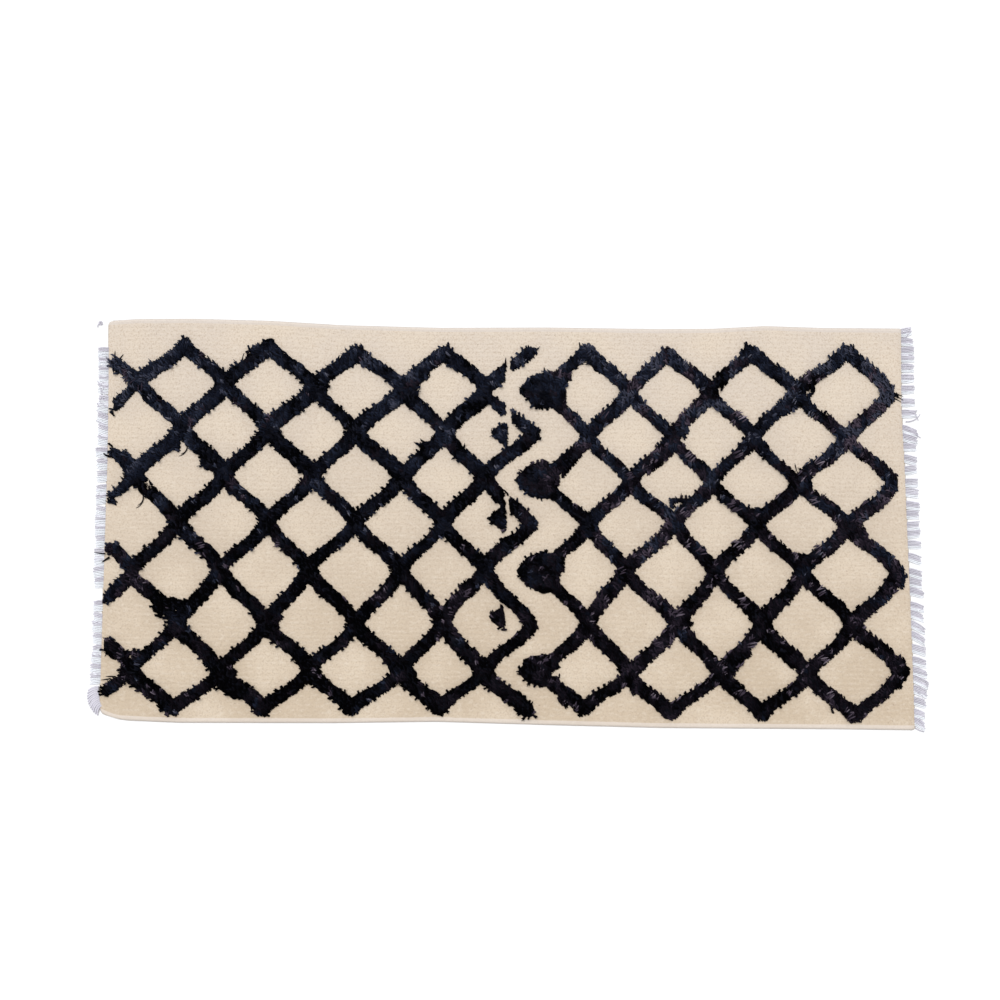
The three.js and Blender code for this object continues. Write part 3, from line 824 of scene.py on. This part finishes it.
def curled_paths(rows, stations, height):
    """Paths of yarns that lie on something: each sets off at its heading, and turns evenly along
    its length. The way is summed up from short steps, and its height is a function of the share
    of the way."""
    s = np.linspace(0, 1, stations)
    start = np.array([[row["x"], row["y"]] for row in rows]) * MM
    heading = np.radians([row["heading"] for row in rows])[:, None]
    turn = np.radians([row["turn"] for row in rows])[:, None]
    step = np.array([row["length"] for row in rows])[:, None] * MM / (stations - 1)
    facing = heading + turn * s[:-1]
    ways = (np.cumsum(step * part, axis=1) for part in (np.cos(facing), np.sin(facing)))
    x, y = (np.concatenate([np.zeros((len(rows), 1)), way], axis=1) for way in ways)
    return np.stack([start[:, :1] + x, start[:, 1:] + y, np.broadcast_to(height(s), x.shape)], axis=-1)


def widths(rows):
    """How wide each row's yarn is beside the others, as a column."""
    return np.array([row.get("wide", 1.0) for row in rows])[:, None]


def joined(sweeps):
    """One set of points, faces and map places from several sweeps, the quads of all before the
    triangles of all."""
    points, faces, places = zip(*sweeps)
    offsets = np.cumsum([0, *(len(part) for part in points[:-1])])
    polygons = [np.concatenate([part[kind] + offset for part, offset in zip(faces, offsets)])
                for kind in (0, 1)]
    quad_places = [place[:part[0].size] for place, part in zip(places, faces)]
    triangle_places = [place[part[0].size:] for place, part in zip(places, faces)]
    return np.concatenate(points), polygons, np.concatenate(quad_places + triangle_places)


def dressed(piece, nodes):
    """The piece, riding on the rug's only body in place of its nodes."""
    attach(piece, "root")
    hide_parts(*nodes)
    return piece


def yarn_piece(name, sweeps, finish, nodes):
    """One piece of several sweeps of yarn."""
    points, polygons, places = joined(sweeps)
    return dressed(new_piece(name, points, polygons, finish, places), nodes)


# ---- Pile ----

def knot_places(low, high):
    """Knots in rows across the rug: a grid whose rows are shifted and whose knots are a little
    out of line."""
    rows = np.arange(low[0], high[0], KNOT_ROW)
    steps = np.arange(low[1], high[1], KNOT_STEP)
    x, y = np.meshgrid(rows, steps, indexing="ij")
    y = y + rng.uniform(0, KNOT_STEP, len(rows))[:, None]
    x = x + 1.2 * MM * np.sin(y * 40) + rng.normal(0, 0.5 * MM, x.shape)
    y = y + rng.normal(0, 0.7 * MM, y.shape)
    return x.ravel(), y.ravel()


def drift(x, y):
    """A smooth field between about -1 and 1 that drifts over the rug, as a sum of crossed waves."""
    return (np.sin(31 * x + 9 * np.sin(17 * y)) + np.sin(27 * y - 12 * x) + np.sin(61 * y + 43 * x)) / 3


def mottle(x, y, size):
    """A smooth random field of spread 1: random values on a square grid of a size, eased between
    the four round each place."""
    values = rng.normal(0, 1, (math.ceil(2.2 / size) + 2, math.ceil(1.2 / size) + 2))
    return between(values, (x + 1.1) / size, (y + 0.6) / size, ease=True)


def settled(x, y):
    """Where the pile over a place of its foot lies: a few millimetres off, a little skewed, and
    more so near the places where the bands wander, by bell curves round them. Crossed sine waves
    draw the bands together sideways at each crossing."""
    right = -0.4 - 2.6 * x + 3.1 * y
    far = -3.0 + 0.6 * x + 6.6 * y - 3.8 * x * y
    for row in WANDERS:
        bell = np.exp(-((x - row["x"] * MM) ** 2 + (y - row["y"] * MM) ** 2) / WANDER_SIZE ** 2)
        right = right + row["right"] * bell
        far = far + row["far"] * bell
    for lattice, mine in zip(LATTICES, (x < PARTING_X, x >= PARTING_X)):
        across = 2 * np.pi * (x - lattice["x"]) / lattice["wide"]
        along = 2 * np.pi * (y - lattice["y"]) / lattice["tall"]
        pinch = PINCH * mine * np.clip(np.abs(x - PARTING_X) / 0.06 - 0.3, 0, 1)
        right = right - pinch * np.sin(across) * np.cos(along)
        far = far + pinch * np.cos(across) * np.sin(along)
    return x + right * MM, y + far * MM


def unsettled(x, y):
    """The place of the foot whose pile lies at a place, near enough."""
    there = settled(x, y)
    return np.array([2 * x - there[0], 2 * y - there[1]])


def worn_share(x, y):
    """The share of gray ends at each place: the highest of the worn places' own shares, which
    fall off as bell curves along and across each place's lie."""
    share = np.full(x.shape, 0.03) + 0.04 * (x > 0.05)
    for row in WORN:
        lie = math.radians(row["lie"])
        dx, dy = x - row["x"] * MM, y - row["y"] * MM
        along = (dx * math.cos(lie) + dy * math.sin(lie)) / (row["long"] * MM)
        across = (dy * math.cos(lie) - dx * math.sin(lie)) / (row["wide"] * MM)
        share = np.maximum(share, row["share"] * np.exp(-along ** 2 - across ** 2))
    return share


def make_knots(pile):
    """The knots: small tufts that lean with the nap. At the edge some are teeth, which are drawn
    to a point and stick out. The right field's edges are neat, but for a saw of teeth on its far
    left ones. Each knot has overhangs of its own in front and behind, a patch of tone, the luck
    that decides whether it is worn, and a warm cast or none."""
    x, y = knot_places(pile.low, pile.low + np.array(pile.cells.shape) * MM)
    rooted = pile.holds(x, y)
    x, y = x[rooted], y[rooted]
    count = len(x)
    lean = NAP_ANGLE + 0.22 * drift(x, y) + rng.normal(0, 0.12 + 0.14 * (y > 0.05))
    out_x, out_y = pile.outward(x, y)
    neat = x > PARTING_X
    likely = np.where(neat, NEAT_TEETH, np.where(out_x < 0.2, LEFT_TEETH, OTHER_TEETH))
    likely = likely * np.where(x < LEFT_END, END_FACTOR, 1.0)
    saw = (x > SAW_FROM) & (out_x < 0.0) & (out_y > 0.1) & ~pile.holds(x, y + KNOT_STEP)
    tooth = (rng.random(count) < likely) & (pile.at(pile.depth, x, y) < TOOTH_DEPTH)
    tooth |= saw & (rng.random(count) < SAW_TEETH)
    outward = np.arctan2(out_y + np.where(neat, 0.5, 0.35), out_x - 0.35 + 0.25 * neat)
    lean = np.where(tooth, outward + rng.normal(0, 0.2, count), lean)
    front, back = rng.uniform(OVERHANG_LOW, OVERHANG_HIGH, (2, count))
    front, back = (np.where(neat, 1.5 * MM + 0.6 * (over - 0.75 * MM), over) for over in (front, back))
    patch = mottle(x, y, 14 * MM)
    luck = rng.random(count)
    warm = mottle(x, y, 22 * MM) * 0.6 < 0.25 * np.tanh(4 * x) - 1.5 * y
    return {"x": x, "y": y, "lean": lean, "tooth": tooth, "front": front, "back": back,
            "patch": patch, "luck": luck, "warm": warm}


def make_ends(pile, top):
    """The paths, radii and tones of all yarn ends of the pile. An end lies half behind its place
    and half before it, and is cut short where the pile ends. A wisp is thin and goes further."""
    knots = make_knots(pile)
    x, y, lean, tooth, front, back, patch, luck, warm = (
        np.repeat(values, ENDS_PER_KNOT) for values in knots.values())
    count = len(x)
    worn = (luck < worn_share(x, y)) & (rng.random(count) < WORN_ENDS)
    lean = np.where(worn & (x > 0.0), WORN_ANGLE, lean)
    wisp = rng.random(count) < 0.012 + 0.02 * (y > 0.05) + 0.03 * (x < LEFT_END)
    drawn = np.where(tooth, 0.4, 1.0)
    near_x = x + rng.normal(0, END_STRAY, count) * drawn
    near_y = y + rng.normal(0, END_STRAY, count) * drawn
    inside = pile.holds(near_x, near_y)
    x, y = np.where(inside, near_x, x), np.where(inside, near_y, y)
    heading = lean + rng.normal(0, 0.38, count) * drawn
    half = NAP_REACH / 2 * rng.uniform(0.7, 1.3, count)
    over = np.where(tooth, TOOTH_OVERHANG, front) + rng.normal(0, 0.4 * MM, count)
    before = np.minimum(half + over * tooth, pile.room(x, y, heading, NAP_REACH) + over)
    before = before + WISP_OVERHANG * wisp
    behind = np.minimum(half, pile.room(x, y, heading + math.pi, NAP_REACH) + back)
    reach = np.maximum(before + behind, SHORTEST_END)
    x, y = x - behind * np.cos(heading), y - behind * np.sin(heading)
    height = rng.uniform(NAP_LOW, NAP_HIGH, count) * np.where(reach < 0.6 * NAP_REACH, 0.8, 1.0)
    base = np.stack([*settled(x, y), np.full(count, top - ROOT_DEPTH)], axis=1)
    paths = arc_paths(base, heading, reach, height, rng.normal(0, 1.5 * MM, count), END_STATIONS)
    radii = END_RADIUS * rng.uniform(0.85, 1.15, count) * np.where(wisp, 0.5, 1.0)
    return paths, radii[:, None] * END_TAPER, end_tones(x, y, patch, worn, warm)


def end_tones(x, y, patch, worn, warm):
    """The ends' tones: paler towards the far side as painted light, paler in the faded stretches,
    uneven in patches of three sizes, and palest where they are worn. Some patches have a warm cast."""
    # Painted light: the tone rises from the near side to the far side, where more light falls.
    tones = np.interp(y, (-0.45, 0.0, 0.45), (0, 5, 13)) + 4.2 * mottle(x, y, 50 * MM) + 5.0 * patch
    tones = tones + 4.0 * mottle(x, y, 22 * MM)
    for middle, wide, lift in FADED_ACROSS:
        tones = tones + lift * np.exp(-((x - middle) / wide) ** 2)
    tones = np.clip(tones + rng.normal(0, 1.5, len(x)), 0, 22)
    tones = np.where(worn, rng.triangular(18, 21, 27, len(x)), tones)
    return np.floor(tones) + WARM_TONES * warm


def squares_around(kept):
    """How many kept squares of a grid meet at each of its points."""
    padded = np.pad(kept, 1).astype(int)
    return padded[:-1, :-1] + padded[1:, :-1] + padded[:-1, 1:] + padded[1:, 1:]


def mat_squares(pile, x, y):
    """Which squares of a grid lie on pile. Where two of them touch at a corner alone their two
    neighbours are added, and squares whose four corners all lie on the rim are taken off."""
    kept = pile.eased(x[:-1, :-1] + MAT_STEP / 2, y[:-1, :-1] + MAT_STEP / 2) > MAT_LEVEL
    for _ in range(3):
        blocks = kept[:-1, :-1], kept[1:, :-1], kept[:-1, 1:], kept[1:, 1:]
        crossed = (blocks[0] == blocks[3]) & (blocks[1] == blocks[2]) & (blocks[0] != blocks[1])
        for block in blocks:
            block |= crossed
        rim = squares_around(kept) < 4
        kept &= ~(rim[:-1, :-1] & rim[1:, :-1] & rim[:-1, 1:] & rim[1:, 1:])
    return kept


def to_edge(pile, start_x, start_y):
    """Rim points moved along the softened map's slope on to the pile's edge, but by no more than
    a share of a square."""
    x, y = start_x, start_y
    most = 0.6 * MAT_STEP
    for _ in range(4):
        right, far = (rise / (2 * MM) for rise in pile.slope(x, y, MM))
        step = (MAT_LEVEL - pile.eased(x, y)) / np.maximum(right ** 2 + far ** 2, 400.0)
        x = start_x + np.clip(x + step * right - start_x, -most, most)
        y = start_y + np.clip(y + step * far - start_y, -most, most)
    return x, y


def make_mat(pile, top):
    """The fluff between the yarn ends as one closed sheet: the squares of a grid that lie on
    pile. Its top rises from the rim as a quarter circle of the depth inside the edge, and its
    underside is flat."""
    cells = np.ceil(np.array(pile.cells.shape) * MM / MAT_STEP).astype(int)
    i, j = np.meshgrid(np.arange(cells[0] + 1), np.arange(cells[1] + 1), indexing="ij")
    x, y = pile.low[0] + i * MAT_STEP, pile.low[1] + j * MAT_STEP
    kept = mat_squares(pile, x, y)
    around = squares_around(kept)
    used, rim = around > 0, (around > 0) & (around < 4)
    x[rim], y[rim] = to_edge(pile, x[rim], y[rim])
    depth = np.minimum(pile.at(pile.depth, x, y) / MAT_ROUNDING, 1.0)
    height = MAT_HEIGHT * np.sqrt(1 - (1 - depth) ** 2) * (1 + 0.12 * mottle(x, y, 12 * MM))
    z = np.where(rim, top - MAT_SINK, top + height)
    x, y = settled(x, y)

    inner = used & ~rim
    index = np.cumsum(used.ravel()).reshape(used.shape) - 1
    below = np.where(inner, used.sum() + np.cumsum(inner.ravel()).reshape(used.shape) - 1, index)
    polygons = [quads(index)[kept.ravel()], quads(below)[kept.ravel()][:, ::-1]]
    points = np.concatenate([
        np.stack([x[used], y[used], z[used]], axis=1),
        np.stack([x[inner], y[inner], np.full(inner.sum(), top - MAT_SINK)], axis=1)])
    return new_piece("pile_fluff", points, polygons, mat_finish())


def make_strays(top):
    """Loose black threads lying out on the ground, in pairs, each with its root in the pile."""
    rows = [{**row, "heading": row["heading"] + 3 * twin, "length": row["length"] * (1 - 0.2 * twin)}
            for row in STRAYS for twin in (0, 1)]
    wide = widths(rows)
    paths = curled_paths(rows, STRAY_STATIONS, lambda s: top + STRAY_LIFT + STRAY_ROOT * (1 - s) ** 3)
    first = paths[:, 1:2, :2] - paths[:, :1, :2]
    paths[:, :, :2] -= STRAY_ROOT * first / np.linalg.norm(first, axis=2, keepdims=True)
    taper = (0.5 + 0.2 * (wide > 1)) * np.linspace(0, 1, STRAY_STATIONS) ** 1.5
    return sweep(paths, STRAY_RADIUS * wide * (1 - taper), np.full(len(rows), WARM_TONES + 6.0), 5, 3.0)


def make_pale_ends():
    """Sheaves of pale worn ends that lie side by side in shallow arcs on top of the pile."""
    rows = [{**row, "place": place - (row["count"] - 1) / 2}
            for row in PALE_ENDS for place in range(row["count"])]
    count = len(rows)
    heading = np.radians([row["heading"] for row in rows])
    across = np.stack([np.sin(heading), -np.cos(heading)], axis=1)
    middle = np.array([[row["x"], row["y"]] for row in rows]) * MM
    middle = middle + across * PALE_GAP * np.array([row["place"] for row in rows])[:, None]
    heading = heading + rng.normal(0, 0.22, count)
    ahead = np.stack([np.cos(heading), np.sin(heading)], axis=1)
    length = PALE_LENGTH * rng.uniform(0.75, 1.15, count)
    start = middle + rng.normal(0, 2.4 * MM, (count, 2)) - ahead * length[:, None] / 2
    base = np.concatenate([start, rng.uniform(PALE_TOP - 1.0 * MM, PALE_TOP, count)[:, None]], axis=1)
    stations = np.linspace(0, 1, 6)
    bend = -rng.uniform(1 * MM, 5 * MM, count)
    paths = arc_paths(base, heading, length, np.full(count, PALE_ARCH), bend, stations)
    radii = PALE_RADIUS * (1 - 0.6 * np.abs(2 * stations - 1) ** 3) * np.ones((count, 1))
    pale = np.array([row["pale"] for row in rows])
    tones = WARM_TONES + np.floor(18 + 11.5 * pale * rng.uniform(0.3, 1.0, count))
    return sweep(paths, radii, tones, 4)


def make_pile(pile, top):
    """All that stands or lies on the ground: the pile in five cuts along the rug, so that none is
    too large, the loose threads, and the fluff."""
    paths, radii, tones = make_ends(pile, top)
    x = paths[:, 0, 0]
    black = yarn_finish(
        "black_wool_pile",
        ((0, (0.0006, 0.0006, 0.0008)), (6, (0.0042, 0.0046, 0.0080)), (13, (0.0100, 0.0125, 0.0235)),
         (19, (0.0210, 0.0265, 0.0460)), (23, (0.055, 0.058, 0.085)), (31, (0.30, 0.29, 0.34)),
         (32, (0.0007, 0.0005, 0.0007)), (38, (0.0050, 0.0038, 0.0058)), (45, (0.0130, 0.0100, 0.0155)),
         (51, (0.0300, 0.0225, 0.0340)), (55, (0.075, 0.058, 0.080)), (64, (0.35, 0.30, 0.35))),
        # Painted shade at the roots, deep in the pile, and painted light at the tips.
        ((0.0, 0.45), (0.45, 0.85), (1.0, 1.4)), 0.02, 0.0)
    cuts = (
        ("pile_left_outer", ("pile_left",), x < -0.48),
        ("pile_left_inner", ("pile_left", "pile_end", "pile_leaf"), (x >= -0.48) & (x < 0.0)),
        ("pile_middle", ("pile_left", "pile_end", "pile_right"), (x >= 0.0) & (x < 0.36)),
        ("pile_right_inner", ("pile_right",), (x >= 0.36) & (x < 0.68)),
        ("pile_right_outer", ("pile_right",), x >= 0.68),
    )
    pieces = []
    for name, nodes, mine in cuts:
        ends = sweep(paths[mine], radii[mine], tones[mine], END_SIDES)
        pieces.append(yarn_piece(name, [ends], black, nodes))
    pieces.append(yarn_piece("pile_loose_threads", [make_strays(top), make_pale_ends()], black,
                             ("pile_left", "pile_right")))
    return [*pieces, dressed(make_mat(pile, top), PILE_NODES)]


# ---- Fringe ----

def tassels(fringe):
    """Where a fringe's tassels stand along the edge, unevenly spaced, with how far they reach, how
    they lean and how much they spread or draw together."""
    count = round((fringe["to"] - fringe["from"]) / TASSEL_PITCH)
    ways = np.cumsum(np.clip(rng.normal(1, TASSEL_WANDER, count + 1), 0.6, 1.5))
    middles = fringe["from"] + (fringe["to"] - fringe["from"]) * (ways[:-1] - 0.5) / (ways[-1] - 0.5)
    middles = middles[(middles < fringe["bare"][0]) | (middles > fringe["bare"][1])]
    count = len(middles)
    places, lengths, leans = ([row[key] for row in fringe["shape"]] for key in ("y", "length", "lean"))
    reach = np.interp(middles, places, lengths) + rng.normal(0, 1.6 * MM, count)
    lean = np.interp(middles, places, leans) + rng.normal(0, 0.09, count)
    return middles, reach, lean, rng.uniform(-0.2, 0.1, count)


def tassel_cords(fringe, edges):
    """The cords of a fringe's tassels. Each tassel's cords start side by side inside the cloth's
    edge and sink from it to the floor, spread and draw together again as a sine of the way along,
    wave a little, and slant by the tassel's lean."""
    cords = fringe["white"] + fringe["gray"]
    y, reach, lean, pinch = (np.repeat(values, cords)[:, None] for values in tassels(fringe))
    total = len(y)
    slot = np.tile(np.arange(cords) - (cords - 1) / 2, total // cords)[:, None]
    x = np.interp(y, *(edges.left if fringe["side"] < 0 else edges.right))
    length = reach * rng.uniform(0.92, 1.04, (total, 1))
    s = CORD_STATIONS[None, :]
    fan = slot * (fringe["fill"] * TASSEL_PITCH / cords) * (1 + pinch * s + 0.1 * np.sin(np.pi * s))
    size, waves, phase = (rng.uniform(*span, (total, 1)) for span in ((0.2, 0.9), (4, 9), (0, 6)))
    wave = size * MM * np.sin(waves * s + phase)
    paths = np.stack([
        x + fringe["side"] * (length * s - CORD_ROOT),
        y + fan + wave * s + (lean * length) * s ** 1.3,
        CORD_LIFT + 0.5 * MM * np.cos(5 * s + 2 * slot) ** 2 + 1.8 * MM * (1 - s) ** 6,
    ], axis=-1)
    radii = CORD_RADIUS * rng.uniform(0.85, 1.1, (total, 1)) * (1 - 0.25 * s ** 6)
    # Painted shade: the gray cords are white cotton given low tones, as if in shade.
    white = np.tile(np.arange(cords) < fringe["white"], total // cords)
    tones = np.where(white, rng.uniform(fringe["whites_from"], 63, total), rng.uniform(4, 26, total))
    return sweep(paths, radii, np.floor(tones), CORD_SIDES, CORD_TWIST)


def make_fringe(name, edges, cotton):
    """The warp ends at one end of the rug: tassels, and some yarns out of line, which lie on the
    floor by their width and rise in the middle as a sine."""
    rows = LOOSE_YARNS[name]
    wide = widths(rows)
    paths = curled_paths(rows, LOOSE_STATIONS,
                         lambda s: (0.4 + 1.5 * wide) * MM + 1.4 * MM * np.sin(np.pi * s))
    radii = LOOSE_RADIUS * wide * (1 - 0.4 * np.linspace(0, 1, LOOSE_STATIONS) ** 3)
    # Painted shade: the grayer a yarn, the lower its tone on the cotton's map.
    tones = np.array([30 * (1 - row["gray"]) for row in rows])
    loose = sweep(paths, radii, np.floor(tones), CORD_SIDES, CORD_TWIST)
    return yarn_piece(name + "_yarn", [tassel_cords(FRINGES[name], edges), loose], cotton, (name,))


# ---- Surroundings ----

def make_floor():
    """A wide square just under the rug."""
    corners = np.array([(-1, -1), (1, -1), (1, 1), (-1, 1)])
    points = np.hstack([corners * 6.0, np.full((4, 1), -0.2 * MM)])
    floor = new_piece("floor", points, [np.array([[0, 1, 2, 3]])], floor_finish(), smooth=False)
    return floor


def make_camera():
    """Almost straight above the rug, a little towards its near side."""
    target = Vector((-0.0179, 0.0563, 0.0))
    tilt, roll, distance = math.radians(6.836), math.radians(-0.421), 3.470
    back = Vector((0, -math.sin(tilt), math.cos(tilt)))
    level = Vector((1, 0, 0))
    up = back.cross(level)
    right = math.cos(roll) * level - math.sin(roll) * up
    above = math.sin(roll) * level + math.cos(roll) * up
    axes = Matrix((right, above, back)).transposed().to_4x4()
    data = bpy.data.cameras.new("camera")
    data.lens = 50
    data.sensor_width = 36
    camera = bpy.data.objects.new("camera", data)
    camera.matrix_world = Matrix.Translation(target + distance * back) @ axes
    bpy.context.scene.collection.objects.link(camera)
    bpy.context.scene.camera = camera


def make_lights():
    """A bright even sky, and a wide soft sun from the far left."""
    world = bpy.data.worlds.new("studio")
    world.use_nodes = True
    background = world.node_tree.nodes["Background"]
    background.inputs["Color"].default_value = (0.97, 0.98, 1.0, 1.0)
    background.inputs["Strength"].default_value = 0.6
    bpy.context.scene.world = world
    data = bpy.data.lights.new("softbox", "SUN")
    data.energy = 1.95
    data.angle = math.radians(45)
    light = bpy.data.objects.new("softbox", data)
    light.rotation_euler = (math.radians(-16), math.radians(-8), 0)
    bpy.context.scene.collection.objects.link(light)
    bpy.context.scene.view_settings.view_transform = "Standard"


make_camera()
make_lights()
floor = make_floor()
edges = Edges()
pile = Footprint(PILE_NODES)
ground = dressed(make_ground(edges), ("ground",))
tufts = make_pile(pile, edges.top)
# Painted shade: the cotton's low gray tones are its white in painted shade, and the shading along each
# cord is painted shade near the cloth.
cotton = yarn_finish(
    "white_cotton",
    ((0, (0.60, 0.575, 0.65)), (0.4 * TONES, (0.74, 0.72, 0.79)), (0.7 * TONES, (0.88, 0.90, 0.95)),
     (TONES, (0.92, 0.94, 0.98))),
    ((0.0, 0.86), (0.5, 0.96), (1.0, 1.0)), 0.2, 0.1)
fringes = [make_fringe(name, edges, cotton) for name in FRINGES]
